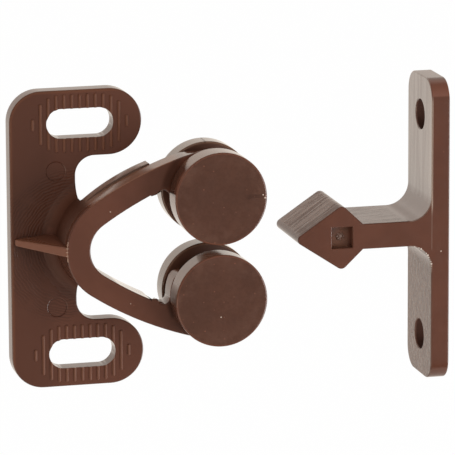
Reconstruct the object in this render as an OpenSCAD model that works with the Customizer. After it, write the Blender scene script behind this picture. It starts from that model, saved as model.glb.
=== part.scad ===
// Rotary catch: a slotted plate with a sprung fork, two spool rollers clipped
// into the fork's ends, and an arrow-headed striker that parts the rollers.
// X runs from the catch to the striker, Y runs into the mounting surface, Z is up.
// The origin is the middle of the slot pattern, on the plate's mounting face.

/* [Mounting plate] */
// Distance between the centres of the two slots
slot_pitch = 30; // [28:0.5:36]
// Width of each slot
slot_w = 3.8; // [3:0.1:4.4]
// Length of each slot from end to end
slot_l = 8.7; // [7:0.1:9.2]
// Thickness of the plate
plate_t = 2.4; // [1.6:0.1:3.2]
// Half height of a slotted lug and radius of its round end
lug_r = 4.3; // [4:0.05:5]
// Distance from the slot centres to the round ends of the lugs
lug_reach = 8.05; // [7.6:0.05:9]
// Distance from the slot centres to the straight edge of the plate
edge_reach = 9.15; // [8.6:0.05:11]
// Width of the plate between the lugs
neck_w = 8.5; // [7.8:0.1:9]
// Radius of the two corners on the straight edge
corner_r = 4.1; // [1:0.1:4.2]
// Radius of the hollow corners between the neck and the lugs
hollow_r = 2.5; // [0.6:0.1:3]
// Diameter of the two ejector marks
mark_d = 2.4; // [1.5:0.1:3]
// Depth of the ejector marks
mark_depth = 0.12; // [0.05:0.01:0.3]
// Distance between the ejector marks
mark_pitch = 17.7; // [14:0.1:20]

/* [Grip ridges] */
// Spacing of the ridges around the slots
ridge_pitch = 1.02; // [0.8:0.02:1.4]
// Width of a ridge at its foot
ridge_w = 0.42; // [0.25:0.01:0.5]
// Height of a ridge
ridge_h = 0.18; // [0.1:0.01:0.2]
// How far the ridges reach beyond the slot
ridge_border = 1.85; // [1:0.05:2]

/* [Fork] */
// Height of the front of the fork above the mounting face
fork_h = 10.4; // [9.4:0.1:13]
// Depth of the arms from front to rear
arm_depth = 5; // [4:0.1:6]
// Inner radius of the bend
bend_r = 3.9; // [3.4:0.1:4.4]
// Thickness of the arms at the bend
arm_t = 3.05; // [2.4:0.05:3.4]
// Distance from the slot centres to the middle of the bend
bend_x = 3.35; // [3:0.05:3.8]
// Slope of an arm where it leaves the bend
splay = 34; // [31:0.5:36]
// Radius of the gentle curve on the arms' inner edges
inner_sweep_r = 47; // [40:1:60]
// Slope of the deep part of an arm where it leaves the bend
deep_splay = 40; // [38:0.5:44]
// Step in an arm's outer edge where its deep part ends
arm_step = 0.12; // [0.05:0.01:0.4]
// Gap between a roller and the deep part of its arm
arm_setback = 1.75; // [0.8:0.05:2.5]
// Radius of the fillet around the foot of the fork
root_r = 2; // [0.5:0.1:2.4]

/* [Gusset] */
// Thickness of the gusset's crest at its foot
gusset_t = 0.8; // [0.6:0.05:1.8]
// Angle by which each side of the gusset opens towards the fork
gusset_taper = 1.5; // [0.5:0.1:4]
// Draft angle of the gusset's sides
gusset_draft = 6; // [0.5:0.5:10]
// Distance from the straight edge to the foot of the gusset
gusset_setback = 0.5; // [0.1:0.1:2]
// Height of the gusset's blunt foot
gusset_foot = 0.6; // [0.2:0.1:1.5]
// How far the crest ends behind the front of the fork
gusset_drop = 0.1; // [0.05:0.05:2]

/* [Clips] */
// Depth of the clips that hold the rollers
clip_depth = 3; // [2:0.1:3.4]
// How far the clips stay inside the rims of the rollers
clip_inset = 0.1; // [0.1:0.05:0.6]
// Angle from the middle of a clip's mouth to the middle of each lip
lip_angle = 68; // [64:1:76]
// Radius of the relief notch at the root of each inner lip
notch_r = 0.8; // [0.4:0.05:1]
// Length of the flat before each notch
flat_l = 0.8; // [0.4:0.1:1.2]
// Running clearance around a hub
hub_clearance = 0.06; // [0.03:0.01:0.1]
// Gap between a clip and the front disc
front_gap = 0.3; // [0.1:0.05:0.6]

/* [Rollers] */
// Distance from the slot centres to the roller axes
roller_x = 15.55; // [15:0.05:17]
// Distance between the roller axes
roller_pitch = 13.15; // [12.6:0.05:14]
// Diameter of the discs of a roller
roller_d = 11.9; // [11:0.05:12.4]
// Diameter of the hub between the discs
hub_d = 6; // [4.5:0.1:7]
// Thickness of the front disc
front_disc_t = 3.4; // [2:0.1:4.5]
// Width of the groove between the discs
groove_w = 4.35; // [4:0.05:5]
// Thickness of the rear disc
rear_disc_t = 2.9; // [1.5:0.1:3.2]
// Chamfer around the rims
rim_chamfer = 0.12; // [0.05:0.01:0.4]

/* [Striker] */
// Distance from the slot centres to the striker's tip with the door ajar
striker_x = 26.3; // [24:0.1:40]
// Distance from the mounting surface to the striker
striker_gap = 0.5; // [0.3:0.1:4]
// Depth of the striker along the rollers
striker_d = 10.7; // [8:0.1:12]
// Height of the striker's plate
striker_h = 39.4; // [36:0.1:44]
// Thickness of the striker's plate
striker_t = 2.4; // [1.6:0.1:3.2]
// Radius of the striker plate's corners
striker_corner_r = 2.8; // [0.5:0.1:4]
// Distance between the screw holes
hole_pitch = 29; // [24:0.5:31]
// Diameter of the screw holes
hole_d = 3.9; // [3:0.1:4.5]
// Thickness of the stem
stem_t = 3.3; // [2.6:0.1:4]
// Length of the stem between head and plate
stem_l = 9.1; // [7:0.1:12]
// Radius of the fillets between stem and plate
stem_fillet_r = 3; // [1:0.1:4]
// Height of the head across its shoulders, before rounding
head_h = 8.56; // [7.6:0.02:10]
// Slope of the nose
nose_angle = 33.7; // [28:0.1:40]
// Slope behind the shoulders
tail_angle = 43.5; // [36:0.1:52]
// Rounding of the nose
nose_r = 0.7; // [0.3:0.05:1]
// Rounding of the shoulders
shoulder_r = 0.8; // [0.3:0.05:1]
// Width of the square recess in the head
recess_w = 2.7; // [1.5:0.1:3]
// Depth of the square recess
recess_depth = 1.2; // [0.4:0.1:2.5]

/* [Hidden] */
$fn = 96;
brown = [0.37, 0.24, 0.19];

// Overlap that joins solids and lets cuts break through a face
join = 0.5;

// How far a curve starts inside the face that it leaves, so that the two meet at an angle
sink = 0.04;

// Places and sizes derived from the plate
neck_x = neck_w - edge_reach;
lug_z = slot_pitch / 2;
plate_half_h = lug_z + lug_r;
lug_arc_x = lug_reach - lug_r;
slot_half = (slot_l - slot_w) / 2;
ridge_zone_r = slot_w / 2 + ridge_border;
ridge_side = floor((slot_half + ridge_zone_r - ridge_w / 8) / ridge_pitch);
ridge_r = (ridge_w * ridge_w / 4 + ridge_h * ridge_h) / (2 * ridge_h);
mark_x = (neck_x - edge_reach) / 2 + neck_w / 5;

// Places and sizes derived from the rollers and the clips
roller_r = roller_d / 2;
roller_c = [roller_x, roller_pitch / 2];
groove_front = fork_h + front_gap;
roller_front = groove_front + front_disc_t;
groove_rear = groove_front - groove_w;
roller_rear = groove_rear - rear_disc_t;
clip_rear = fork_h - clip_depth;
clip_r = roller_r - clip_inset;
bore_r = hub_d / 2 + hub_clearance;
lip_c_r = (clip_r + bore_r) / 2;
lip_r = (clip_r - bore_r) / 2;

// The arms' outer edge is an arc that touches both the bend and the clip
bend_c = [bend_x, 0];
bend_out_r = bend_r + arm_t;
arm_normal = [-sin(splay), cos(splay)];
to_bend = bend_c - roller_c;
radius_drop = bend_out_r - clip_r;
outer_shift = (to_bend * to_bend - radius_drop * radius_drop)
            / (2 * (to_bend * arm_normal + radius_drop));
outer_sweep_r = bend_out_r + outer_shift;
outer_sweep_c = bend_c - outer_shift * arm_normal;
inner_sweep_c = bend_c - (inner_sweep_r - bend_r) * arm_normal;
flat_x = roller_x - clip_r - 2 * notch_r - flat_l;
arm_rear = fork_h - arm_depth;
arm_end_x = roller_x - roller_r - arm_setback;
reach = 2 * (roller_x + roller_r);

// The deep part's outer edge leaves the bend earlier and ends a step further out
deep_normal = [-sin(deep_splay), cos(deep_splay)];
arm_end_dx = arm_end_x - outer_sweep_c.x;
arm_end = [arm_end_x, outer_sweep_c.y + sqrt(pow(outer_sweep_r, 2) - pow(arm_end_dx, 2))];
deep_end = arm_end + arm_step * unit(arm_end - outer_sweep_c) - bend_c;
deep_root_r = bend_out_r - sink;
deep_shift = (deep_end * deep_end - deep_root_r * deep_root_r)
           / (2 * (deep_root_r - deep_end * deep_normal));
deep_sweep_r = deep_root_r + deep_shift;
deep_sweep_c = bend_c - deep_shift * deep_normal;

// The gusset's crest, as X and height above the mounting face
crest_foot = [gusset_setback - edge_reach, plate_t + gusset_foot];
crest_top = [bend_x - bend_out_r, fork_h - gusset_drop];
crest_run = crest_top - crest_foot;
crest_l = norm(crest_run);
crest_turn = -atan2(crest_run.y, crest_run.x);

// The striker's outline along X
striker_y = -striker_gap - striker_d / 2;
nose_x = striker_x - nose_r * (1 / sin(nose_angle) - 1);
shoulder_x = nose_x + head_h / 2 / tan(nose_angle);
stem_x = shoulder_x + (head_h - stem_t) / 2 / tan(tail_angle);
striker_plate_x = stem_x + stem_l;

function unit(v) = v / norm(v);

// Stands an XZ outline on end between two heights above the mounting face
module slab(rear, front) {
    translate([0, -rear, 0])
        rotate([90, 0, 0])
            linear_extrude(front - rear) children();
}

// A convex outline with a rounding at each corner, zero for a sharp one
module rounded(points, radii) {
    n = len(points);
    corners = [for (i = [0 : n - 1])
        let (p = points[i],
             u = unit(points[(i + n - 1) % n] - p),
             w = unit(points[(i + 1) % n] - p),
             half = acos(u * w) / 2)
        [p + u * radii[i] / tan(half),
         p + w * radii[i] / tan(half),
         p + unit(u + w) * radii[i] / sin(half)]];
    polygon([for (i = [0 : n - 1])
        each radii[i] > 0 ? [corners[i][0], corners[i][1]] : [points[i]]]);
    for (i = [0 : n - 1])
        if (radii[i] > 0) translate(corners[i][2]) circle(radii[i]);
}

// A hollow corner's filling: its two straight sides run along +X and +Y
module hollow_corner(r) {
    difference() {
        translate([-join, -join]) square(r + join);
        translate([r, r]) circle(r);
    }
}

module obround(half, r) {
    square([2 * half, 2 * r], center = true);
    for (s = [-1, 1]) translate([s * half, 0]) circle(r);
}

// Repeats its children for the upper half and, mirrored, for the lower half
module both_halves() {
    children();
    mirror([0, 1, 0]) children();
}

module plate_outline() {
    rounded([[-edge_reach, -plate_half_h], [-edge_reach, plate_half_h],
             [neck_x, plate_half_h], [neck_x, -plate_half_h]],
            [corner_r, corner_r, 0, 0]);
    both_halves() translate([0, lug_z]) {
        translate([neck_x - join, -lug_r])
            square([lug_arc_x - neck_x + join, 2 * lug_r]);
        translate([lug_arc_x, 0]) circle(lug_r);
        translate([neck_x, -lug_r]) mirror([0, 1, 0]) hollow_corner(hollow_r);
    }
}

// A half-round ridge with ball ends, sunk into the front of the plate
module ridge(half) {
    translate([0, ridge_r - ridge_h - plate_t, 0]) {
        cylinder(h = 2 * half, r = ridge_r, center = true);
        for (s = [-1, 1]) translate([0, 0, s * half]) sphere(ridge_r);
    }
}

// The ridges that grip a washer, in a round-ended band around each slot
module grip_ridges() {
    for (i = [-ridge_side : ridge_side]) {
        beyond = max(0, abs(i) * ridge_pitch - slot_half);
        half = sqrt(pow(ridge_zone_r, 2) - pow(beyond, 2)) - ridge_w / 2;
        translate([i * ridge_pitch, 0, 0]) ridge(max(half, ridge_w / 4));
    }
}

module plate() {
    difference() {
        union() {
            slab(0, plate_t) plate_outline();
            for (s = [-1, 1]) translate([0, 0, s * lug_z]) grip_ridges();
        }
        for (s = [-1, 1]) {
            translate([0, 0, s * lug_z])
                slab(-join, plate_t + ridge_h + join) obround(slot_half, slot_w / 2);
            translate([mark_x, -plate_t, s * mark_pitch / 2])
                rotate([90, 0, 0]) cylinder(h = 2 * mark_depth, d = mark_d, center = true);
        }
    }
}

// The round of the fork, between the roots of the two arms
module bend() {
    intersection() {
        translate(bend_c) difference() {
            circle(bend_out_r);
            circle(bend_r);
        }
        polygon([bend_c, bend_c + reach * arm_normal, [-reach, reach],
                 [-reach, -reach], bend_c + reach * [arm_normal.x, -arm_normal.y]]);
    }
}

// The upper arm from the bend to its roller, inside an outer arc that leaves the
// bend where the normal points, with a flat in its inner edge before the clip
module upper_arm(arc_c, arc_r, normal) {
    difference() {
        intersection() {
            translate(arc_c) circle(arc_r, $fn = 4 * $fn);
            polygon([bend_c, bend_c + reach * normal,
                     roller_c + reach * unit(roller_c - arc_c),
                     roller_c, [roller_x, 0]]);
        }
        intersection() {
            translate(inner_sweep_c) circle(inner_sweep_r, $fn = 4 * $fn);
            translate([-reach, -reach]) {
                square([2 * reach, reach + roller_c.y]);
                square([reach + flat_x, 2 * reach]);
            }
        }
    }
}

module front_band() {
    bend();
    both_halves() upper_arm(outer_sweep_c, outer_sweep_r, arm_normal);
}

module deep_band() {
    bend();
    both_halves() upper_arm(deep_sweep_c, deep_sweep_r, deep_normal);
}

module left_of(x) {
    translate([-reach, -reach]) square([reach + x, 2 * reach]);
}

// The upper clip: a ring around the hub, open towards the other roller
module upper_clip() {
    translate(roller_c) {
        difference() {
            circle(clip_r);
            circle(bore_r);
            polygon([[0, 0], 3 * clip_r * [-sin(lip_angle), -cos(lip_angle)],
                     3 * clip_r * [sin(lip_angle), -cos(lip_angle)]]);
        }
        for (s = [-1, 1])
            translate(lip_c_r * [s * sin(lip_angle), -cos(lip_angle)]) circle(lip_r);
    }
}

// The front layer of the fork: both arms with their clips
module clip_layer() {
    difference() {
        front_band();
        both_halves() translate(roller_c) {
            circle(lip_c_r);
            translate([-clip_r - notch_r, 0]) circle(notch_r);
        }
    }
    both_halves() upper_clip();
}

// The fillet that blends the foot of the fork into the plate
module root_fillet() {
    intersection() {
        translate([bend_x, -plate_t, 0]) rotate([90, 0, 0]) rotate_extrude()
            translate([bend_out_r - sink, -sink]) hollow_corner(root_r);
        slab(plate_t - join, plate_t + root_r) left_of(neck_x);
    }
}

module fork() {
    slab(clip_rear, fork_h) clip_layer();
    slab(arm_rear, clip_rear) intersection() {
        deep_band();
        left_of(arm_end_x);
    }
    slab(plate_t - join, arm_rear) intersection() {
        bend();
        left_of(neck_x);
    }
    root_fillet();
}

// All that lies on the inner side of the gusset's upper face, which is drafted
// and opens towards the fork
module gusset_half_space() {
    translate([crest_foot.x, -crest_foot.y, 0])
        rotate([0, -gusset_taper, crest_turn]) rotate([90, 0, 90])
            translate([0, 0, -crest_l])
                linear_extrude(3 * crest_l)
                    polygon([[-crest_l, -crest_l], [-crest_l, gusset_t / 2],
                             [0, gusset_t / 2],
                             [crest_l, gusset_t / 2 + crest_l * tan(gusset_draft)],
                             [crest_l, -crest_l]]);
}

// The gusset: a web that stiffens the fork's root
module gusset() {
    intersection() {
        linear_extrude(2 * lug_z, center = true)
            polygon([[crest_foot.x, join - plate_t], [crest_foot.x, -crest_foot.y],
                     [crest_top.x, -crest_top.y], [crest_top.x + join, -crest_top.y],
                     [crest_top.x + join, join - plate_t]]);
        gusset_half_space();
        mirror([0, 0, 1]) gusset_half_space();
    }
}

// Plate, gusset and fork are one moulding
module catch_body() {
    color(brown) {
        plate();
        gusset();
        fork();
    }
}

// A spool turned about its own axis, front disc first
module roller() {
    rotate([90, 0, 0]) rotate_extrude()
        polygon([[0, roller_rear], [roller_r - rim_chamfer, roller_rear],
                 [roller_r, roller_rear + rim_chamfer],
                 [roller_r, groove_rear - rim_chamfer],
                 [roller_r - rim_chamfer, groove_rear], [hub_d / 2, groove_rear],
                 [hub_d / 2, groove_front], [roller_r - rim_chamfer, groove_front],
                 [roller_r, groove_front + rim_chamfer],
                 [roller_r, roller_front - rim_chamfer],
                 [roller_r - rim_chamfer, roller_front], [0, roller_front]]);
}

module upper_roller() {
    color(brown) translate([roller_c.x, 0, roller_c.y]) roller();
}

module lower_roller() {
    color(brown) translate([roller_c.x, 0, -roller_c.y]) roller();
}

// Nose, head and stem of the striker with its fillets, seen along Y
module striker_outline() {
    rounded([[nose_x, 0], [shoulder_x, head_h / 2], [stem_x, stem_t / 2],
             [stem_x, -stem_t / 2], [shoulder_x, -head_h / 2]],
            [nose_r, shoulder_r, 0, 0, shoulder_r]);
    translate([stem_x - join, -stem_t / 2]) square([stem_l + 2 * join, stem_t]);
    both_halves() translate([striker_plate_x, stem_t / 2])
        mirror([1, 0, 0]) hollow_corner(stem_fillet_r);
}

// The striker plate's face with its rounded corners, drawn as depth and height
module striker_face() {
    half = [striker_d / 2, striker_h / 2];
    rounded([[-half.x, -half.y], [-half.x, half.y], half, [half.x, -half.y]],
            [for (i = [0 : 3]) striker_corner_r]);
}

module striker() {
    color(brown) difference() {
        union() {
            slab(-striker_y - striker_d / 2, -striker_y + striker_d / 2) striker_outline();
            translate([striker_plate_x, striker_y, 0]) rotate([90, 0, 90])
                linear_extrude(striker_t) striker_face();
        }
        for (s = [-1, 1])
            translate([striker_plate_x - join, striker_y, s * hole_pitch / 2])
                rotate([0, 90, 0]) cylinder(h = striker_t + 2 * join, d = hole_d);
        translate([shoulder_x, striker_y - striker_d / 2, 0])
            cube([recess_w, 2 * recess_depth, recess_w], center = true);
    }
}

catch_body();
upper_roller();
lower_roller();
striker();
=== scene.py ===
# %% [markdown]
# Rotary catch, a lesson in Blender
#
# The object is a small brown cabinet catch in two halves. One half is a slotted
# plate with a springy fork that carries two spool rollers. The other half is a
# striker with an arrow head that pushes in between the rollers. Everything is
# moulded in one satin plastic, so the lesson is about edges, gloss and the small
# marks that moulding and use leave behind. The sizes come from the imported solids,
# and Blender adds the soft edges, the finish, the light and the camera.

# %% Load the solids
import math

import bmesh
import bpy
from mathutils import Euler, Matrix, Vector


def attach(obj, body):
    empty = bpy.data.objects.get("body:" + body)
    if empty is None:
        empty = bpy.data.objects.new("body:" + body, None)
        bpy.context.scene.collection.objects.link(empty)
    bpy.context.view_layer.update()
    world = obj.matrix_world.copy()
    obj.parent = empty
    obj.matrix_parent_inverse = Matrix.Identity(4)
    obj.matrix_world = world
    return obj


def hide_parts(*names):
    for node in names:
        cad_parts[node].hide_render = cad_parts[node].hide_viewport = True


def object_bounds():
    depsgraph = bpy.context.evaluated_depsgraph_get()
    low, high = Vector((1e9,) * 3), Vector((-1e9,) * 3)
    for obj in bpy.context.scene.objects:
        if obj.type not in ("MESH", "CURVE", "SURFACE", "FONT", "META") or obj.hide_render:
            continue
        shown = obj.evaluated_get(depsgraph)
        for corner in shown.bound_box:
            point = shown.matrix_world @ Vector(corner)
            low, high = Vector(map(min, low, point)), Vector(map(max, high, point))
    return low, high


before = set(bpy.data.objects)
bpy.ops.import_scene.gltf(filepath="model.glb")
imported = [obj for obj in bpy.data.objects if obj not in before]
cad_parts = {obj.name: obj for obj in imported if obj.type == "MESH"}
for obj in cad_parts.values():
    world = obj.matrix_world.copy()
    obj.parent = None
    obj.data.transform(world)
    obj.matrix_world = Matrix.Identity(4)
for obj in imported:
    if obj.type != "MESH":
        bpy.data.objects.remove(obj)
cad_low, cad_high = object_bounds()
scene = bpy.context.scene
MM = 0.001
print("solids loaded:", sorted(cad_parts))

# %% [markdown]
# The camera
#
# The photograph is taken with a long lens, a little from the left and a little
# from above. A long lens keeps parallel edges nearly parallel, which is why the
# plate's sides do not visibly draw together. The angles and the distance were found by
# matching known points of the part with the picture. An Euler turn points the camera,
# and a last small turn about its own axis gives the slight roll.

# %% Place the camera
PHOTO_PIXELS = 455
FOCAL_PIXELS = 4500
SENSOR_MM = 36
AZIMUTH = -14.38
ELEVATION = 12.2
ROLL = 0.277
ORIGIN_PIXEL_X = 77.032
ORIGIN_PIXEL_Y = 234.502
ORIGIN_DEPTH = 576.484 * MM


def turned(azimuth, elevation):
    """The turn that points a camera or lamp at the part from two angles in degrees."""
    return Euler((math.radians(90 - elevation), 0, math.radians(azimuth))).to_matrix()


turn = turned(AZIMUTH, ELEVATION) @ Matrix.Rotation(math.radians(-ROLL), 3, "Z")
aside = ORIGIN_PIXEL_X - PHOTO_PIXELS / 2
above = PHOTO_PIXELS / 2 - ORIGIN_PIXEL_Y
towards_origin = turn @ Vector((aside, above, -FOCAL_PIXELS)) * (ORIGIN_DEPTH / FOCAL_PIXELS)
camera_data = bpy.data.cameras.new("product_camera")
camera_data.sensor_width = SENSOR_MM
camera_data.lens = SENSOR_MM * FOCAL_PIXELS / PHOTO_PIXELS
camera_data.clip_start = 0.05
camera_data.clip_end = 20
camera = bpy.data.objects.new("product_camera", camera_data)
scene.collection.objects.link(camera)
camera.matrix_world = Matrix.Translation(-towards_origin) @ turn.to_4x4()
scene.camera = camera
scene.view_settings.view_transform = "Standard"
print("camera at", [round(x, 4) for x in camera.location], "lens", round(camera_data.lens, 1))

# %% [markdown]
# Node helpers
#
# Materials and the world are both node trees. Setting up a node by hand takes a
# line for each value, so a small helper makes a node, gives it its settings, and
# sets each socket either to a plain value or to a link from another node. Two more
# helpers cover the nodes that come up most: one step of arithmetic, and a soft step
# from one value to another.


# %% Define the node helpers
def put(tree, kind, settings=None, **sockets):
    """Adds a node. A socket's name has underscores for spaces, or is in_N for socket N."""
    made = tree.nodes.new("ShaderNode" + kind)
    for name, value in (settings or {}).items():
        setattr(made, name, value)
    for name, value in sockets.items():
        where = int(name[3:]) if name.startswith("in_") else name.replace("_", " ")
        if isinstance(value, bpy.types.NodeSocket):
            tree.links.new(value, made.inputs[where])
        else:
            made.inputs[where].default_value = value
    return made


def math_node(tree, operation, first, second):
    return put(tree, "Math", {"operation": operation}, in_0=first, in_1=second).outputs[0]


def remap(tree, value, low, high, to_low=0.0, to_high=1.0):
    """A soft step between two values. With low above high it runs the other way."""
    made = put(tree, "MapRange", {"interpolation_type": "SMOOTHSTEP"}, Value=value,
               From_Min=low, From_Max=high, To_Min=to_low, To_Max=to_high)
    return made.outputs[0]


# %% [markdown]
# A white tent for light
#
# Small glossy products are photographed in a white tent with a dark room behind the
# camera. The satin plastic shows its own brown where it faces the camera, because
# it mirrors the dark side there. Where a surface is seen at a shallow angle it
# mirrors the bright tent and turns pale. The world is therefore white behind and
# beside the part and dim on the camera's side, and to the camera it is plain white.
# Three soft lamps then light the front: a strong one from the right, a weaker warm one
# from the left and one from above, which is kept out of reflections.

# %% Build the tent and the lamps
ROOM_LEVEL = 0.12
CAMERA_SIDE_LEVEL = 0.35
TENT_LEVEL = 1.0
WARM_WHITE = (1, 0.92, 0.83)
WHITE = (1, 1, 1)
BEHIND_CAMERA = (-0.95, -0.6)
TENT_EDGE = (0.0, 0.35)

world = bpy.data.worlds.new("white_tent")
scene.world = world
world.use_nodes = True
tent = world.node_tree
tent.nodes.clear()
rays = put(tent, "LightPath").outputs
away = put(tent, "SeparateXYZ", Vector=put(tent, "TexCoord").outputs["Generated"]).outputs["Y"]
room = remap(tent, away, *BEHIND_CAMERA, CAMERA_SIDE_LEVEL, ROOM_LEVEL)
level = remap(tent, away, *TENT_EDGE, room, TENT_LEVEL)
glow = put(tent, "Background", Color=(*WARM_WHITE, 1), Strength=level)
plain = put(tent, "Background", Color=(*WHITE, 1), Strength=1.0)
direct = math_node(tent, "MAXIMUM", rays["Is Camera Ray"], rays["Is Transmission Ray"])
sky = put(tent, "MixShader", in_0=direct, in_1=glow.outputs[0], in_2=plain.outputs[0])
put(tent, "OutputWorld", Surface=sky.outputs[0])

LAMP_DISTANCE = 0.6
WARM_LAMP = (1, 0.82, 0.66)


def lamp(name, azimuth, elevation, size, watts, colour):
    """A round area lamp that faces the middle of the part and that the camera cannot see."""
    data = bpy.data.lights.new(name, "AREA")
    data.shape = "DISK"
    data.size = size
    data.energy = watts
    data.color = colour
    made = bpy.data.objects.new(name, data)
    made.visible_camera = False
    scene.collection.objects.link(made)
    facing = turned(azimuth, elevation)
    place = (cad_low + cad_high) / 2 + facing @ Vector((0, 0, LAMP_DISTANCE))
    made.matrix_world = Matrix.Translation(place) @ facing.to_4x4()
    return made


lamp("right_softbox", azimuth=52, elevation=-14, size=0.4, watts=2.6, colour=WHITE)
lamp("left_softbox", azimuth=-48, elevation=-22, size=0.5, watts=1.1, colour=WARM_LAMP)
top_lamp = lamp("top_softbox", azimuth=0, elevation=40, size=0.6, watts=1.4, colour=WHITE)
top_lamp.visible_glossy = False
print("tent and lamps ready")

# %% [markdown]
# The floor
#
# A pale floor lies a little way under the part. To the camera and in reflections it is
# as white as the backdrop, and it keeps a trace of the part's shadow. For all other
# light it is plain paper, so that it does not add light to the part.

# %% Lay the floor
FLOOR_DROP = 30 * MM
FLOOR_HALF = 3
FLOOR_WHITE = 1.0
SHADOW_SHARE = 0.01
PAPER = (0.9, 0.9, 0.9, 1)

floor_mesh = bpy.data.meshes.new("pale_floor")
bm = bmesh.new()
bmesh.ops.create_grid(bm, x_segments=1, y_segments=1, size=FLOOR_HALF)
bmesh.ops.translate(bm, verts=bm.verts, vec=(0, FLOOR_HALF - FLOOR_DROP, cad_low.z - FLOOR_DROP))
bm.to_mesh(floor_mesh)
bm.free()
floor = bpy.data.objects.new("pale_floor", floor_mesh)
scene.collection.objects.link(floor)

paper = bpy.data.materials.new("white_paper")
paper.use_nodes = True
sheet = paper.node_tree
sheet.nodes.clear()
rays = put(sheet, "LightPath").outputs
direct = math_node(sheet, "MAXIMUM", rays["Is Camera Ray"], rays["Is Transmission Ray"])
seen = math_node(sheet, "MAXIMUM", direct, rays["Is Glossy Ray"])
seen = math_node(sheet, "MULTIPLY", seen, 1 - SHADOW_SHARE)
tint = put(sheet, "Mix", {"data_type": "RGBA"}, in_0=direct, in_6=(*WARM_WHITE, 1), in_7=(*WHITE, 1))
white = put(sheet, "Emission", Color=tint.outputs[2], Strength=FLOOR_WHITE)
dull = put(sheet, "BsdfDiffuse", Color=PAPER)
both = put(sheet, "MixShader", in_0=seen, in_1=dull.outputs[0], in_2=white.outputs[0])
put(sheet, "OutputMaterial", Surface=both.outputs[0])
floor_mesh.materials.append(paper)
print("floor at", round(cad_low.z - FLOOR_DROP, 4))

# %% [markdown]
# Satin brown plastic
#
# The catch is moulded in acetal, a hard waxy plastic with a satin skin. Its colour
# is nearly even, with faint clouds where the melt flowed and a few pale specks. The
# skin has a very fine grain that breaks up reflections, and it turns glossier at a
# shallow angle. Each of these is a texture on Object coordinates, scaled so that one
# unit is a millimetre. The class makes that common finish. A piece then adds marks of
# its own through masks, which are 1 on the mark and 0 away from it.


# %% Define the plastic
BROWN = (0.112, 0.041, 0.025)
SATIN = 0.2
ACETAL_IOR = 1.48
POLISH_ROUGHNESS = 0.06
CLOUD_SCALE = 0.22
GRAIN_SCALE = 0.9
SKIN_SCALE = 4.0
SKIN_RELIEF = 0.0015
SPECK_CELLS = 0.55
SPECK_RADII = (0.06, 0.035)
SHALLOW = (0.6, 0.95)


def tone(colour, factor):
    return tuple(min(1.0, channel * factor) for channel in colour)


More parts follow.
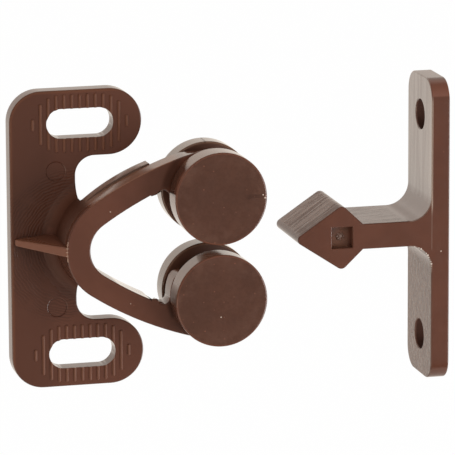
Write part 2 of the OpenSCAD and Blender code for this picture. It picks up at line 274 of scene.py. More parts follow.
class Plastic:
    """A moulded finish in mm. Marks are added to its colour, gloss and relief, then it is closed."""

    def __init__(self, name, brown, roughness):
        self.material = bpy.data.materials.new(name)
        self.material.use_nodes = True
        self.tree = self.material.node_tree
        self.tree.nodes.clear()
        coordinates = put(self.tree, "TexCoord").outputs
        millimetres = put(self.tree, "Mapping", Vector=coordinates["Object"], Scale=(1 / MM,) * 3)
        self.place = millimetres.outputs[0]
        self.along = put(self.tree, "SeparateXYZ", Vector=self.place).outputs
        self.normal = put(self.tree, "SeparateXYZ", Vector=coordinates["Normal"]).outputs
        clouds = self.step(self.noise(CLOUD_SCALE, 3, 0.5), 0.3, 0.7)
        self.colour = self.mix(clouds, tone(brown, 0.93), tone(brown, 1.08))
        grain = self.noise(GRAIN_SCALE, 4, 0.6)
        self.rough = remap(self.tree, grain, 0.25, 0.75, roughness - 0.05, roughness + 0.06)
        self.relief = math_node(self.tree, "MULTIPLY", self.noise(SKIN_SCALE, 3, 0.5), SKIN_RELIEF)
        cells = put(self.tree, "TexVoronoi", Vector=self.place, Scale=SPECK_CELLS)
        self.paint(self.step(cells.outputs["Distance"], *SPECK_RADII), tone(brown, 2.6), 0.35)
        self.polished = 0.0

    def noise(self, scale, detail, roughness, place=None):
        made = put(self.tree, "TexNoise", Vector=place or self.place, Scale=scale,
                   Detail=detail, Roughness=roughness)
        return made.outputs[0]

    def mix(self, share, first, second):
        if not isinstance(first, bpy.types.NodeSocket):
            first = (*first, 1)
        made = put(self.tree, "Mix", {"data_type": "RGBA"}, in_0=share, in_6=first, in_7=(*second, 1))
        return made.outputs[2]

    def step(self, value, start, end):
        """Zero where a value is at its start and one where it is at its end, whichever is larger."""
        return remap(self.tree, value, start, end)

    def every(self, *masks):
        """Where all of the masks meet."""
        share = masks[0]
        for mask in masks[1:]:
            share = math_node(self.tree, "MULTIPLY", share, mask)
        return share

    def either(self, first, second):
        return math_node(self.tree, "MAXIMUM", first, second)

    def past(self, axis, start, end):
        """Zero at one place along an axis and one at the other, whichever comes first."""
        return self.step(self.along[axis], start, end)

    def within(self, value, low, high, soft):
        """One between two values and zero beyond them, with soft ends."""
        rise = self.step(value, low - soft, low + soft)
        return self.every(rise, self.step(value, high + soft, high - soft))

    def band(self, axis, low, high, soft):
        return self.within(self.along[axis], low, high, soft)

    def distance(self, point):
        made = put(self.tree, "VectorMath", {"operation": "DISTANCE"}, in_0=self.place, in_1=point)
        return made.outputs["Value"]

    def from_axle(self, x, z):
        """The distance from a line that runs along Y."""
        flat = put(self.tree, "CombineXYZ", X=self.along["X"], Z=self.along["Z"]).outputs[0]
        made = put(self.tree, "VectorMath", {"operation": "DISTANCE"}, in_0=flat, in_1=(x, 0, z))
        return made.outputs["Value"]

    def streaks(self, lengths, turn, low, high):
        """Noise that is drawn out by a length along each axis of a turned frame."""
        lie = put(self.tree, "Mapping", {"vector_type": "TEXTURE"}, Vector=self.place,
                  Rotation=[math.radians(angle) for angle in turn], Scale=lengths)
        return self.step(self.noise(1.0, 3, 0.6, lie.outputs[0]), low, high)

    def paint(self, mask, colour, share=1.0):
        self.colour = self.mix(self.every(mask, share), self.colour, colour)

    def speck(self, point, radius, colour):
        self.paint(self.step(self.distance(point), radius, 0.6 * radius), colour)

    def roughen(self, mask, amount):
        self.rough = math_node(self.tree, "ADD", self.rough, self.every(mask, amount))

    def polish(self, mask, amount):
        share = self.every(mask, amount)
        self.polished = self.either(self.polished, share)

    def swell(self, mask, height):
        self.relief = math_node(self.tree, "ADD", self.relief, self.every(mask, height))

    def close(self):
        bump = put(self.tree, "Bump", Strength=1.0, Distance=MM, Height=self.relief)
        shallow = put(self.tree, "LayerWeight", Blend=0.5).outputs["Facing"]
        sleek = remap(self.tree, shallow, *SHALLOW, 1.0, 0.3)
        skin = put(self.tree, "BsdfPrincipled", Base_Color=self.colour, IOR=ACETAL_IOR,
                   Roughness=self.every(self.rough, sleek), Normal=bump.outputs[0],
                   Coat_Weight=self.polished, Coat_Roughness=POLISH_ROUGHNESS, Coat_IOR=ACETAL_IOR)
        put(self.tree, "OutputMaterial", Surface=skin.outputs[0])
        print("finish", self.material.name, "has", len(self.tree.nodes), "nodes")
        return self.material


# %% [markdown]
# Softened mouldings
#
# No moulded edge is sharp: the tool leaves a rounding of a few tenths of a millimetre,
# and that rounding is what catches the light along every edge. The solids have sharp
# edges, so a copy of each mesh is merged, its flat faces are joined into single faces,
# and its sharp outer edges are bevelled. Weighted normals then keep the wide faces
# flat in the shading while the narrow bevels stay round.


# %% Define the softening
MERGE_DISTANCE = 0.002 * MM
FLAT_DEGREES = 0.5
CREASE_DEGREES = 40
SHARP_DEGREES = 30
RIM_DEGREES = 35
EDGE_ROUNDING = 0.18 * MM
RIM_ROUNDING = 0.12 * MM
ROUNDING_STEPS = 3


def new_piece(name, bm, material, body):
    """Makes an object of a bmesh, smooth but for its creases, that rides on a body."""
    for face in bm.faces:
        face.smooth = True
    for edge in bm.edges:
        edge.smooth = edge.calc_face_angle(0) < math.radians(CREASE_DEGREES)
    mesh = bpy.data.meshes.new(name)
    bm.to_mesh(mesh)
    bm.free()
    mesh.materials.append(material)
    made = bpy.data.objects.new(name, mesh)
    scene.collection.objects.link(made)
    weights = made.modifiers.new("even_normals", "WEIGHTED_NORMAL")
    weights.keep_sharp = True
    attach(made, body)
    print(name, "has", len(mesh.polygons), "faces")
    return made


def merged_copy(node):
    bm = bmesh.new()
    bm.from_mesh(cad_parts[node].data)
    bmesh.ops.remove_doubles(bm, verts=bm.verts, dist=MERGE_DISTANCE)
    bmesh.ops.dissolve_limit(bm, angle_limit=math.radians(FLAT_DEGREES), verts=bm.verts, edges=bm.edges)
    return bm


def sharp_edges(bm, least_degrees):
    """The outer edges that turn by more than an angle. Hollow corners are left alone."""
    least = math.radians(least_degrees)
    return [e for e in bm.edges if len(e.link_faces) == 2 and e.calc_face_angle_signed(0) > least]


def bevel(bm, edges, width):
    bmesh.ops.bevel(bm, geom=edges, offset=width, offset_type="OFFSET", affect="EDGES",
                    segments=ROUNDING_STEPS, profile=0.5, material=-1, clamp_overlap=False, loop_slide=True)


# %% [markdown]
# The finish of the plate
#
# The plate is painted a shade darker than the fork, as painted shade, because it lies
# deeper. Painted shade makes it darkest round the foot of the fork, where the light
# hardly reaches, and painted light makes it palest on the side that lies open. Each pair
# of values below is where a mask starts and ends, in mm.

# %% Paint the plate
PALE = (0.62, 0.5, 0.42)
ROOT_SHADE_BROWN = (0.082, 0.026, 0.0125)
PLATE_SKIN_Y = (-2.7, -2.25)
OPEN_SIDE_X = (-5.0, -2.0)
OPEN_SIDE_HEIGHT = (6.8, 8.6)
BEND_FOOT = (3.35, -3.2, 0)
NEAR_ROOT_RADII = (8.0, 11.0)
NEAR_ROOT_HEIGHT = (7.5, 5.5)
ROOT_RADII = (6.7, 9.2)
ROOT_Y = (-9.5, -2.42)

skin = Plastic("catch_plastic", BROWN, SATIN)
height = skin.along["Z"]
from_middle = math_node(skin.tree, "ABSOLUTE", height, 0.0)
on_plate = skin.band("Y", *PLATE_SKIN_Y, 0.02)
# Painted shade: the plate's face is painted darker than the fork, because it lies deeper.
skin.paint(on_plate, tone(BROWN, 0.78), 0.9)
# Painted light: the open side of the plate, away from the fork, is painted paler.
painted_light_open_side = skin.every(on_plate, skin.past("X", *OPEN_SIDE_X), skin.step(from_middle, *OPEN_SIDE_HEIGHT))
skin.paint(painted_light_open_side, tone(BROWN, 1.05), 0.8)

# Painted shade: round the foot of the fork the plate and the root are painted dark, where the light hardly
# reaches.
from_foot = skin.distance(BEND_FOOT)
near_root = skin.every(on_plate, skin.within(from_foot, *NEAR_ROOT_RADII, 1.2),
                       skin.step(from_middle, *NEAR_ROOT_HEIGHT))
skin.paint(near_root, ROOT_SHADE_BROWN, 0.55)
root = skin.every(skin.within(from_foot, *ROOT_RADII, 0.3), skin.band("Y", *ROOT_Y, 0.1))
skin.paint(root, ROOT_SHADE_BROWN, 0.8)
skin.roughen(root, 0.45)
print("plate and root painted")

# %% [markdown]
# The gusset and the flow rings
#
# The crest of the gusset and the slope above it get a warmer painted highlight, where
# the warm light from the left falls. On the plate around it the melt left fine rings as
# it spread. They are a distorted wave texture in patches, which darkens the plate and
# stands up from it by a few hundredths of a millimetre.

# %% Paint the gusset and the rings
CREST_HIGHLIGHT_BROWN = (0.21, 0.075, 0.037)
SLOPE_HIGHLIGHT_BROWN = (0.135, 0.047, 0.027)
GUSSET_X = (-8.8, -3.5)
GUSSET_Y = (-10.5, -2.6)
SLOPE_Z = (0.3, 1.8)
SLOPE_FADE_X = (-2.5, -4.5)
CREST_Z = (-0.7, 0.6)
RING_CENTRE = (-0.9, -2.4, -0.9)
RING_RADII = (4.4, 10.0)
RING_RELIEF = 0.018

on_gusset = skin.every(skin.band("X", *GUSSET_X, 0.1), skin.band("Y", *GUSSET_Y, 0.1))
# Painted highlight: the crest of the gusset and the slope above it are painted a lighter, warmer brown.
slope = skin.every(on_gusset, skin.band("Z", *SLOPE_Z, 0.2), skin.past("X", *SLOPE_FADE_X))
skin.paint(slope, SLOPE_HIGHLIGHT_BROWN, 0.8)
crest = skin.every(on_gusset, skin.band("Z", *CREST_Z, 0.25))
skin.paint(crest, CREST_HIGHLIGHT_BROWN, 0.9)
skin.roughen(crest, 0.2)

from_centre = put(skin.tree, "VectorMath", {"operation": "SUBTRACT"}, in_0=skin.place, in_1=RING_CENTRE)
rings = put(skin.tree, "TexWave", {"wave_type": "RINGS", "rings_direction": "Y"}, Scale=0.85,
            Vector=from_centre.outputs[0], Distortion=8.0, Detail=3.0, Detail_Scale=0.7).outputs[1]
patches = skin.step(skin.noise(0.35, 2, 0.5), 0.3, 0.5)
spread = skin.within(skin.distance(RING_CENTRE), *RING_RADII, 0.9)
flow = skin.every(spread, on_plate, patches, rings)
skin.swell(flow, RING_RELIEF)
skin.paint(flow, tone(BROWN, 0.45), 0.45)
print("gusset and rings painted")

# %% [markdown]
# The arms of the fork
#
# The top of the upper arm is painted paler, as painted light where it faces up, and the
# step along it is dull and painted a paler grey brown that lightens the shade in its
# corner. The lip of the lower clip gets a warm painted reflection. The inner sides of
# both arms are polished by the tool, so they mirror the white tent. Masks by the
# direction of the surface tell the arms' tops and inner sides from the rest.

# %% Paint the arms
PAINTED_LIGHT_BROWN = (0.26, 0.115, 0.07)
STEP_BROWN = (0.14, 0.085, 0.063)
ARM_TOP_X = (-0.5, 11.0)
ARM_TOP_Y = (-2.6, -3.2)
ARM_TOP_Z = (3.0, 13.0)
ARM_INSIDE_X = (3.0, 9.2)
ARM_INSIDE_Y = (-2.5, -2.8)
STEP_X = (-1, 8.5)
STEP_Y = (-7.6, -7.2)
LIP_X = (9.4, 12.2)
LIP_Y = (-10.3, -7.3)
LOWER_LIP_Z = (-7.4, -3.3)

upward = skin.step(skin.normal["Z"], 0.3, 0.7)
# Painted light: the up-facing top of the upper arm is painted paler.
arm_top = skin.every(upward, skin.band("X", *ARM_TOP_X, 0.5), skin.band("Z", *ARM_TOP_Z, 0.5),
                     skin.past("Y", *ARM_TOP_Y))
skin.paint(arm_top, PAINTED_LIGHT_BROWN, 0.9)
inwards = skin.step(skin.every(skin.normal["Z"], height), -0.5, -1.5)
arm_inside = skin.every(inwards, skin.past("Y", *ARM_INSIDE_Y), skin.band("X", *ARM_INSIDE_X, 0.4))
skin.polish(arm_inside, 1.0)
# Painted light: the step along the arms is painted a paler grey brown, which lightens the shade in its
# corner.
along_step = skin.every(skin.band("Y", *STEP_Y, 0.15), skin.band("X", *STEP_X, 0.5))
skin.roughen(along_step, 0.35)
skin.paint(along_step, STEP_BROWN, 0.8)
# Painted reflection: the lip of the lower clip is painted a warm pale brown.
lower_lip = skin.every(skin.band("X", *LIP_X, 0.1), skin.band("Y", *LIP_Y, 0.1),
                       skin.band("Z", *LOWER_LIP_Z, 0.1))
skin.paint(lower_lip, PAINTED_LIGHT_BROWN, 0.5)
print("arms painted")

# %% [markdown]
# Ridges, edges and shade
#
# The ridges round the slots get a warm painted highlight, and the plate's outer left and
# top edges a warm painted glow, where light from behind shines through the thin plastic.
# The front discs stand close before the arms and keep the light off them, so a dark
# ring is painted beside each disc. Two pale specks finish the catch.

# %% Paint the ridges, edges and shade
WARM_HIGHLIGHT_BROWN = (0.16, 0.058, 0.028)
ROLLER_X = 15.55
ROLLER_Z = 6.575
FORK_FRONT = -10.4
RIDGE_Y = (-2.7, -2.43)
RIDGE_HEIGHTS = (10.5, 10.8)
LEFT_EDGE_X = (-8.65, -8.95)
TOP_EDGE_Z = (18.8, 19.1)
CORNER_CENTRE = (-5.05, -2.4, 15.2)
CORNER_RADII = (3.65, 3.95)
CORNER_X = (-5.0, -5.6)
CORNER_Z = (15.2, 15.8)
FRONT_FACE_Y = (-10.6, -10.2)
SHADE_END_X = (12.0, 10.5)
UPPER_SHADE_RADII = (5.5, 6.9)
UPPER_SHADE_Z = (7.6, 12.5)
LOWER_SHADE_RADII = (5.4, 6.3)
LOWER_SHADE_Z = (-9.3, -6.9)
UPPER_SPECK = (2.04, FORK_FRONT, 4.97)
LOWER_SPECK = (4.55, FORK_FRONT, -7.06)

# Painted highlight: the ridges round the slots are painted a lighter, warm brown.
on_ridges = skin.every(skin.band("Y", *RIDGE_Y, 0.02), skin.step(from_middle, *RIDGE_HEIGHTS))
skin.roughen(on_ridges, 0.4)
skin.paint(on_ridges, WARM_HIGHLIGHT_BROWN, 0.7)

# Painted light: a warm glow is painted along the plate's left and top edges, where light from behind shines
# through.
straight_edges = skin.either(skin.past("X", *LEFT_EDGE_X), skin.past("Z", *TOP_EDGE_Z))
corner = skin.every(skin.step(skin.distance(CORNER_CENTRE), *CORNER_RADII),
                    skin.past("X", *CORNER_X), skin.past("Z", *CORNER_Z))
edge = skin.every(skin.either(straight_edges, corner), on_plate)
skin.paint(edge, WARM_HIGHLIGHT_BROWN, 0.5)

on_fork = skin.every(skin.band("Y", *FRONT_FACE_Y, 0.1), skin.past("X", *SHADE_END_X))
from_upper = skin.distance((ROLLER_X, FORK_FRONT, ROLLER_Z))
from_lower = skin.distance((ROLLER_X, FORK_FRONT, -ROLLER_Z))
upper_ring = skin.within(from_upper, *UPPER_SHADE_RADII, 0.35)
lower_ring = skin.within(from_lower, *LOWER_SHADE_RADII, 0.25)
upper_shade = skin.every(upper_ring, skin.band("Z", *UPPER_SHADE_Z, 0.4))
lower_shade = skin.every(lower_ring, skin.band("Z", *LOWER_SHADE_Z, 0.3))
shade = skin.every(skin.either(upper_shade, lower_shade), on_fork)
skin.paint(shade, tone(BROWN, 0.4), 0.75)
skin.speck(UPPER_SPECK, 0.09, PALE)
skin.speck(LOWER_SPECK, 0.07, PALE)
catch_material = skin.close()

# %% [markdown]
# The catch moulding
#
# Plate, gusset and fork are one moulding. The copy of the solid keeps the ridges round
# the slots and the step along the arms as they are, since they are too small for the
# wide rounding. The back edge of each clip and of the upper clip's lip is drawn in a
# little, so that a dark gap opens before the rear disc. Each arm has a small flat before
# its clip. The upper one is tilted in line with the arm, and the lower one falls away
# to the back.

# %% Make the catch moulding
SLOT_HEIGHT = 15 * MM
SLOT_HALF = 2.45 * MM
GRIP_REACH = 3.9 * MM
PLATE_FRONT = -2.4 * MM
RIDGE_HEIGHT = 0.3 * MM
STEP_PLANE = -7.4 * MM
STEP_END = 8 * MM
ON_PLANE = 0.02 * MM
CLIP_OUTSIDE = 5.7 * MM
CLIP_DRAWN_IN = 4.9 * MM
DRAW_START = 11.5 * MM
DRAW_LENGTH = 4 * MM
LIP_INSIDE = 12.4 * MM
LIP_OUTSIDE = 9.7 * MM
LIP_DRAWN_IN = 0.9 * MM
LIP_LOW = 3.3 * MM
LIP_HIGH = 7.4 * MM
LIP_BLEND = 0.8 * MM
FLAT_START = 7.25 * MM
FLAT_END = 8.2 * MM
FLAT_HEIGHT = 6.57 * MM
FLAT_MARGIN = 0.05 * MM
FLAT_SLOPE = 0.325
FLAT_SINK = 0.225
FLAT_MERGE = 0.06 * MM


def spared(edge):
    """Whether an edge belongs to the ridges round a slot or to the step along an arm."""
    middle = (edge.verts[0].co + edge.verts[1].co) / 2
    beyond_slot = Vector((max(0, abs(middle.x) - SLOT_HALF), abs(middle.z) - SLOT_HEIGHT))
    at_ridges = abs(middle.y - PLATE_FRONT) < RIDGE_HEIGHT and beyond_slot.length < GRIP_REACH
    at_step = abs(middle.y - STEP_PLANE) < ON_PLANE and middle.x < STEP_END
    return at_ridges or at_step


def draw_in_clips(bm):
    """Moves the back edge of each clip towards its axle, and that of the upper lip inwards."""
    for vert in bm.verts:
        if abs(vert.co.y - STEP_PLANE) > ON_PLANE:
            continue
        axle_z = math.copysign(ROLLER_Z * MM, vert.co.z)
        from_axle = Vector((vert.co.x - ROLLER_X * MM, 0, vert.co.z - axle_z))
        outer = from_axle.length > CLIP_OUTSIDE and abs(vert.co.z) > ROLLER_Z * MM
        if outer and vert.co.x > DRAW_START:
            share = min(1, (vert.co.x - DRAW_START) / DRAW_LENGTH)
            vert.co -= from_axle.normalized() * (from_axle.length - CLIP_DRAWN_IN) * share
        elif LIP_LOW < vert.co.z < LIP_HIGH and STEP_END < vert.co.x < LIP_INSIDE:
            share = min(1, (LIP_HIGH - vert.co.z) / LIP_BLEND)
            vert.co.x += LIP_DRAWN_IN * share * (LIP_INSIDE - vert.co.x) / (LIP_INSIDE - LIP_OUTSIDE)


def bend_flats(bm):
    """Tilts the flat before the upper clip and lets the one before the lower clip fall away."""
    tilted = []
    for vert in bm.verts:
        if not FLAT_START < vert.co.x < FLAT_END:
            continue
        tilt = FLAT_HEIGHT + FLAT_SLOPE * (vert.co.x - FLAT_START)
        if FLAT_HEIGHT - ON_PLANE < vert.co.z < tilt:
            vert.co.z = tilt
            tilted.append(vert)
        sunk = -FLAT_HEIGHT - FLAT_SINK * (vert.co.y - FORK_FRONT * MM)
        on_arm = vert.co.x < FLAT_START + 2 * FLAT_MARGIN and vert.co.z < -FLAT_HEIGHT - FLAT_MARGIN
        if -LIP_HIGH < vert.co.z < 0 and not on_arm:
            vert.co.z = min(vert.co.z, sunk)
    bmesh.ops.remove_doubles(bm, verts=tilted, dist=FLAT_MERGE)


bm = merged_copy("catch_body")
draw_in_clips(bm)
bend_flats(bm)
bevel(bm, [e for e in sharp_edges(bm, SHARP_DEGREES) if not spared(e)], EDGE_ROUNDING)
catch = new_piece("catch_moulding", bm, catch_material, "catch")
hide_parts("catch_body")

# %% [markdown]
# The finish of the rollers
#
# Each roller is a spool: a front disc, a thin hub and a rear disc. The front faces are
# faintly mottled and a shade paler towards the rim. A painted highlight runs round each
# front edge, the rims are painted paler still as painted reflections where they see the
# tent, and painted shade darkens the groove between the discs.

# %% Paint the rollers
ROLLER_BROWN = (0.087, 0.0355, 0.0225)
PALER_BROWN = (0.108, 0.048, 0.032)
GROOVE_BROWN = (0.085, 0.03, 0.015)
REAR_RIM_REFLECTION_BROWN = (0.17, 0.085, 0.053)
FRONT_RIM_REFLECTION_BROWN = (0.2, 0.095, 0.06)
ROLLER_FRONT = -14.1
REAR_DISC_MIDDLE = -4.9
FACE_Y = (-13.8, -14.0)
FACE_RADII = (2.5, 5.8)
FACE_END = (6.4, 6.2)
EDGE_RADII = (5.74, 6.02)
REAR_RIM_RADII = (5.85, 6.3)
REAR_RIM_Y = (-6.5, -3.3)
FRONT_RIM_RADII = (5.88, 5.93)
FRONT_RIM_Y = (-13.95, -10.7)
LIT_X = (11.0, 12.0)
LIT_HEIGHT = (7.2, 6.8)
SHADED_X = (12.0, 11.0)
SHADED_Z = (-3.8, -6.6)
GROOVE_RADII = (5.75, 5.6)
GROOVE_Y = (-10.9, -6.2)

skin = Plastic("roller_plastic", ROLLER_BROWN, SATIN)
on_face = skin.past("Y", *FACE_Y)
mottle = skin.step(skin.noise(1.5, 5, 0.8), 0.42, 0.6)
skin.paint(mottle, tone(ROLLER_BROWN, 0.7), 0.35)
smears = skin.step(skin.noise(0.45, 4, 0.65), 0.4, 0.65)
from_middle = math_node(skin.tree, "ABSOLUTE", skin.along["Z"], 0.0)
in_light = skin.either(skin.past("X", *LIT_X), skin.step(from_middle, *LIT_HEIGHT))
shaded = skin.every(skin.past("X", *SHADED_X), skin.past("Z", *SHADED_Z))
for axle_z in (-ROLLER_Z, ROLLER_Z):
    radius = skin.from_axle(ROLLER_X, axle_z)
    outward = skin.every(skin.step(radius, *FACE_RADII), skin.step(radius, *FACE_END), smears, on_face)
    skin.paint(outward, PALER_BROWN, 0.9)
    # Painted highlight: a paler line round the front edge of each disc.
    rim = skin.within(skin.distance((ROLLER_X, ROLLER_FRONT, axle_z)), *EDGE_RADII, 0.04)
    skin.paint(rim, tone(BROWN, 1.6), 0.65)
    # Painted reflection: the rear disc's rim is painted paler where it mirrors the tent.
    from_rear = skin.distance((ROLLER_X, REAR_DISC_MIDDLE, axle_z))
    rear_rim = skin.every(skin.within(from_rear, *REAR_RIM_RADII, 0.05), skin.band("Y", *REAR_RIM_Y, 0.05))
    skin.paint(rear_rim, REAR_RIM_REFLECTION_BROWN)
    skin.polish(rear_rim, 0.5)
    # Painted reflection: the front disc's rim is painted paler where it sees the tent, and the plain roller
    # brown is painted back where it lies in shadow.
    front_rim = skin.every(skin.step(radius, *FRONT_RIM_RADII), skin.band("Y", *FRONT_RIM_Y, 0.05), in_light)
    skin.paint(front_rim, FRONT_RIM_REFLECTION_BROWN)
    skin.polish(front_rim, 0.25)
    rim_shade = skin.every(front_rim, shaded)
    skin.paint(rim_shade, ROLLER_BROWN)
    skin.roughen(rim_shade, 0.5)
    # Painted shade: the groove between the discs is painted dark.
    groove = skin.every(skin.step(radius, *GROOVE_RADII), skin.band("Y", *GROOVE_Y, 0.1))
    skin.paint(groove, GROOVE_BROWN, 0.9)
    skin.roughen(groove, 0.3)
print("rollers painted")

# %% [markdown]
# Marks of use, and the rollers themselves
#
# A scatter of dust lies on the faces: a flat Voronoi texture puts a dot in some of its
# cells. The upper roller also has a nick at its right, with a painted highlight of two
# pale specks on its rim, and a seam across its rear rim. The solids are turned shapes
# already, so a copy of each only needs its rims rounded.

# %% Mark and make the rollers
DUST_CELLS = 0.75
DUST_RADII = (0.075, 0.04)
DUST_PICK = (0.72, 0.98)
SEAM_X = (15.31, 15.49)
SEAM_Y = (-6.3, -3.5)
SEAM_Z = (11.5, 12.0)
SEAM_RELIEF = -0.08
NICK_X = (18.7, 20.7)
NICK_Z = (6.3, 6.95)
NICK_LENGTHS = (1.2, 1, 0.25)
NOT_TURNED = (0, 0, 0)
FACE_SPECK = (15.4, ROLLER_FRONT, -8.65)
NICK_GLINT = (20.95, ROLLER_FRONT, 6.85)
RIM_GLINT = (21.2, ROLLER_FRONT, 6.45)

flat = put(skin.tree, "CombineXYZ", X=skin.along["X"], Y=skin.along["Z"]).outputs[0]
cells = put(skin.tree, "TexVoronoi", {"voronoi_dimensions": "2D"}, Vector=flat, Scale=DUST_CELLS).outputs
pick = put(skin.tree, "SeparateColor", Color=cells["Color"]).outputs[0]
dust = skin.every(skin.step(cells["Distance"], *DUST_RADII), skin.step(pick, *DUST_PICK), on_face)
skin.paint(dust, tone(BROWN, 2.4), 0.6)
seam = skin.every(skin.band("X", *SEAM_X, 0.07), skin.past("Z", *SEAM_Z), skin.band("Y", *SEAM_Y, 0.05))
skin.paint(seam, GROOVE_BROWN, 0.9)
skin.roughen(seam, 0.6)
skin.swell(seam, SEAM_RELIEF)
skin.speck(FACE_SPECK, 0.1, PALE)
scratches = skin.streaks(NICK_LENGTHS, NOT_TURNED, 0.35, 0.55)
nick = skin.every(skin.band("X", *NICK_X, 0.5), skin.band("Z", *NICK_Z, 0.15), on_face, scratches)
skin.paint(nick, tone(BROWN, 0.38), 0.6)
# Painted highlight: two pale specks on the rim at the nick.
skin.speck(NICK_GLINT, 0.11, PALE)
skin.speck(RIM_GLINT, 0.13, PALE)
roller_material = skin.close()

for half in ("upper", "lower"):
    bm = merged_copy(half + "_roller")
    bevel(bm, sharp_edges(bm, RIM_DEGREES), RIM_ROUNDING)
    spool = new_piece(half + "_spool", bm, roller_material, half + "_roller")
    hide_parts(half + "_roller")

# %% [markdown]
# The finish of the striker's plate
#
# The striker is one moulding: a plate with two screw holes, a stem and an arrow head.
# The plate's face is smooth and streaked above the stem, with a painted reflection of
# the tent that is paler towards the front edge, and grainy below it. The fillet between
# plate and stem is polished, like the upper face.

# %% Paint the striker's plate
SHEEN_BROWN = (0.23, 0.165, 0.135)
GRAIN_BROWN = (0.17, 0.1, 0.072)
BEHIND_FRONT_Y = (-11.1, -11.0)
ON_FRONT_Y = (-11.0, -11.1)
PLATE_FACE_X = (43.8, 44.15)
ABOVE_STEM_Z = (3.0, 7.0)
BELOW_STEM_Z = (-3.0, -5.0)
UPRIGHT_LENGTHS = (1, 0.9, 14)
POLISHED_Z = (-6.0, 7.0)
FILLET_FACE_X = (40.9, 44.0)
FILLET_FACE_Z = (1.65, 2.2)
PALE_EDGE_Y = (-8.0, -11.0)
GRAIN_RELIEF = 0.02

skin = Plastic("striker_plastic", BROWN, SATIN)
behind_front = skin.past("Y", *BEHIND_FRONT_Y)
on_front = skin.past("Y", *ON_FRONT_Y)
plate_face = skin.every(skin.band("X", *PLATE_FACE_X, 0.08), behind_front)
above_stem = skin.every(plate_face, skin.past("Z", *ABOVE_STEM_Z))
upright = skin.streaks(UPRIGHT_LENGTHS, NOT_TURNED, 0.35, 0.65)
# Painted reflection: the face above the stem is painted a pale sheen brown.
skin.paint(above_stem, SHEEN_BROWN, 0.4)
skin.paint(skin.every(above_stem, upright), BROWN, 0.3)
streaked = remap(skin.tree, upright, 0.0, 1.0, 1.0, 0.7)
skin.polish(skin.every(plate_face, streaked, skin.past("Z", *POLISHED_Z)), 1.0)
fillet = skin.every(skin.band("X", *FILLET_FACE_X, 0.2), skin.past("Z", *FILLET_FACE_Z), behind_front)
skin.polish(fillet, 0.7)
# Painted reflection: paler still towards the front edge.
skin.paint(skin.every(above_stem, skin.past("Y", *PALE_EDGE_Y)), PALE, 0.2)
skin.roughen(above_stem, -0.08)
peel = skin.step(skin.noise(1.3, 4, 0.7), 0.4, 0.62)
grainy = skin.every(plate_face, skin.past("Z", *BELOW_STEM_Z), peel)
skin.paint(grainy, GRAIN_BROWN, 0.8)
skin.swell(grainy, GRAIN_RELIEF)
print("striker's plate painted")

# %% [markdown]
# The stem and the head
#
# The head's slopes and the stem's top are scored where the tool was cut. Noise is drawn
# out along the cutter's way, so that it turns into long thin lines, and it darkens and
# dulls the surface. The head's lines lie along its slope. Under them the head's slopes are
# painted a paler brown, as a painted reflection of the tent.

# %% Paint the stem and the head
SCORED_BROWN = tone(BROWN, 0.55)
HEAD_SHEEN_BROWN = (0.18, 0.078, 0.044)
STEM_X = (34.6, 40.6)
STEM_TOP_Z = (1.55, 1.62)
STEM_LENGTHS = (7, 0.3, 7)
STEM_TURN = (0, 0, 12)
HEAD_X = (26.6, 33.2)
COARSE_LENGTHS = (9, 0.6, 9)
FINE_LENGTHS = (5, 0.16, 5)
HEAD_TURN = (0, -33, 0)
SCORE_RELIEF = -0.03

lines = skin.streaks(STEM_LENGTHS, STEM_TURN, 0.42, 0.6)
stem_lines = skin.every(skin.band("X", *STEM_X, 0.4), skin.past("Z", *STEM_TOP_Z), lines)
skin.paint(stem_lines, SCORED_BROWN, 0.7)
skin.roughen(stem_lines, 0.25)

# Painted reflection: the head's slopes are painted a paler brown.
head = skin.every(skin.band("X", *HEAD_X, 0.3), behind_front)
skin.paint(head, HEAD_SHEEN_BROWN, 0.6)
coarse = skin.streaks(COARSE_LENGTHS, HEAD_TURN, 0.45, 0.6)
fine = skin.streaks(FINE_LENGTHS, HEAD_TURN, 0.48, 0.6)
scores = skin.every(head, skin.either(coarse, fine))
skin.paint(scores, SCORED_BROWN, 0.6)
skin.roughen(scores, 0.28)
skin.swell(skin.every(head, coarse), SCORE_RELIEF)
print("stem and head painted")

# %% [markdown]
# Edges, holes and the striker itself
#
# A painted highlight runs along the edge of the plate above the stem. A pale line runs
# down the front edge between the fillets, and painted highlights follow the fillets'
# edges. The screw holes are deep and dull, and painted shade makes them dark inside. The
# rounded corner at the top is painted lighter than the flat front, as a painted highlight
# where it catches more light.

# %% Mark and make the striker
HOLE_SHADE_BROWN = (0.045, 0.015, 0.008)
CORNER_HIGHLIGHT_BROWN = (0.2, 0.08, 0.053)
STRIKER_FRONT = -11.2
HOLE_X = 45.2
HOLE_Y = -5.85
HOLE_Z = 14.5
HOLE_RADII = (2.4, 2.2)
HOLE_START_X = (44.1, 44.3)
FILLET_X = 41.03
FILLET_Z = 4.65
FILLET_RADII = (2.92, 3.1)
FILLET_START_X = (40.8, 41.4)
EDGE_HIGHLIGHT_X = (44.0, 44.2)
EDGE_HIGHLIGHT_Y = (-11.25, -10.95)
EDGE_HIGHLIGHT_Z = (3.0, 17.5)
PALE_LINE_X = (44.04, 44.1)
PALE_LINE_Z = (-2.2, 6.4)
TOP_CORNER_Z = (17.5, 17.8)
PLATE_SPECK = (45.3, STRIKER_FRONT, -2.5)

# Painted highlight: a pale line along the plate's edge above the stem.
highlight_edge = skin.every(skin.band("X", *EDGE_HIGHLIGHT_X, 0.03), skin.band("Y", *EDGE_HIGHLIGHT_Y, 0.03),
                       skin.band("Z", *EDGE_HIGHLIGHT_Z, 1.0))
skin.paint(highlight_edge, PALE, 0.45)
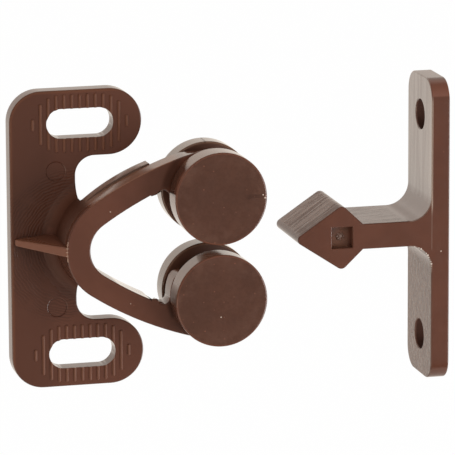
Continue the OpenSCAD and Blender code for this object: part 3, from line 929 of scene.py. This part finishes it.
# A pale line down the front edge between the fillets, joined by painted highlights along the fillets' edges.
pale_lines = skin.every(skin.band("X", *PALE_LINE_X, 0.03), skin.band("Z", *PALE_LINE_Z, 0.3))
for side in (-1, 1):
    from_fillet = skin.distance((FILLET_X, STRIKER_FRONT, FILLET_Z * side))
    fillet_edge = skin.every(skin.within(from_fillet, *FILLET_RADII, 0.04), skin.past("X", *FILLET_START_X))
    pale_lines = skin.either(pale_lines, fillet_edge)
    # Painted shade: the inside of each screw hole is painted dark.
    from_hole = skin.distance((HOLE_X, HOLE_Y, HOLE_Z * side))
    hole = skin.every(skin.step(from_hole, *HOLE_RADII), skin.past("X", *HOLE_START_X))
    skin.paint(hole, HOLE_SHADE_BROWN)
    skin.roughen(hole, 0.8)
skin.paint(skin.every(pale_lines, on_front), PALE, 0.22)
# Painted highlight: the rounded top corner is painted lighter than the flat front.
forwards = skin.step(skin.normal["Y"], -0.2, -0.45)
top_corner = skin.every(forwards, skin.past("Z", *TOP_CORNER_Z))
skin.paint(top_corner, CORNER_HIGHLIGHT_BROWN, 0.9)
skin.speck(PLATE_SPECK, 0.1, PALE)
striker_material = skin.close()

bm = merged_copy("striker")
bevel(bm, sharp_edges(bm, SHARP_DEGREES), EDGE_ROUNDING)
striker = new_piece("striker_moulding", bm, striker_material, "striker")
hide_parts("striker")

# %% [markdown]
# Gate mark and flash
#
# The melt enters a mould through a small gate, and a rough stub stays where it is
# broken off. On the striker it sits in the square recess. Where the halves of the mould
# meet, a little plastic can creep out as flash, which shows as pale crumbs at the
# fork's apex and along the striker's lower fillet. All are small closed lumps, sunk into
# the surface that carries them.


# %% Make the gate mark and the flash
GATE_BROWN = (0.17, 0.1, 0.075)
FORK_FLASH_HIGHLIGHT_BROWN = (0.42, 0.27, 0.2)
STRIKER_FLASH_BROWN = (0.66, 0.57, 0.5)
DENT_DEPTH = 0.22
CRUMB_SPREAD = 0.05
GATE_X = 32.16
GATE_Y = -10.0
GATE_RADII = (0.3, 0.1, 0.3)
GATE_CRUMBS = 8
GATE_RING = 0.42
GATE_CRUMB = 0.13
BEND_X = 3.35
FORK_CRUMBS = 11
FORK_CRUMB = 0.09
FORK_CRUMB_HEIGHT = 0.12
FORK_FLASH_RADIUS = 6.9
FORK_FLASH_START = 170.5
FORK_FLASH_SWEEP = 20
FORK_FLASH_SINK = 0.1
STRIKER_CRUMBS = 14
STRIKER_CRUMB = 0.1
STRIKER_FLASH_RADIUS = 3.08
STRIKER_FLASH_START = 76
STRIKER_FLASH_SWEEP = -78
STRIKER_FLASH_SINK = 0.07


def lump(bm, centre, radii):
    """A small ball in mm, stretched to a size and dented so that it looks torn."""
    made = bmesh.ops.create_icosphere(bm, subdivisions=2, radius=1)
    for vert in made["verts"]:
        ragged = 1 + DENT_DEPTH * math.sin(7 * vert.co.x + 5 * vert.co.z + 40 * centre[2])
        vert.co = Vector([MM * (centre[i] + radii[i] * ragged * vert.co[i]) for i in range(3)])


def uneven(size, pace, k):
    """A crumb's size, which comes and goes along a row."""
    return size + CRUMB_SPREAD * math.sin(pace * k)


gate_material = Plastic("gate_plastic", GATE_BROWN, 0.5).close()
bm = bmesh.new()
lump(bm, (GATE_X, GATE_Y, 0), GATE_RADII)
for k in range(GATE_CRUMBS):
    angle = 2 * math.pi * k / GATE_CRUMBS
    size = uneven(GATE_CRUMB, 5.3, k)
    lump(bm, (GATE_X + GATE_RING * math.cos(angle), GATE_Y, GATE_RING * math.sin(angle)), (size, size, size))
new_piece("gate_stub", bm, gate_material, "striker")

# The fork's crumbs are paler than the plastic, partly as pale torn flash and partly as a painted highlight
# where they catch the light from the left.
flash_material = Plastic("flash_plastic", FORK_FLASH_HIGHLIGHT_BROWN, 0.35).close()
bm = bmesh.new()
for k in range(FORK_CRUMBS):
    angle = math.radians(FORK_FLASH_START + FORK_FLASH_SWEEP * k / (FORK_CRUMBS - 1))
    size = uneven(FORK_CRUMB, 9.1, k)
    x = BEND_X + FORK_FLASH_RADIUS * math.cos(angle)
    z = -FORK_FLASH_RADIUS * math.sin(angle)
    lump(bm, (x, FORK_FRONT + FORK_FLASH_SINK, z), (size, 1.2 * size, FORK_CRUMB_HEIGHT))
new_piece("fork_flash", bm, flash_material, "catch")

fillet_material = Plastic("fillet_flash_plastic", STRIKER_FLASH_BROWN, 0.3).close()
bm = bmesh.new()
for k in range(STRIKER_CRUMBS):
    angle = math.radians(STRIKER_FLASH_START + STRIKER_FLASH_SWEEP * k / (STRIKER_CRUMBS - 1))
    size = uneven(STRIKER_CRUMB, 4.7, k)
    x = FILLET_X + STRIKER_FLASH_RADIUS * math.cos(angle)
    z = STRIKER_FLASH_RADIUS * math.sin(angle) - FILLET_Z
    lump(bm, (x, STRIKER_FRONT + STRIKER_FLASH_SINK, z), (size, 0.6 * size, size))
new_piece("striker_flash", bm, fillet_material, "striker")
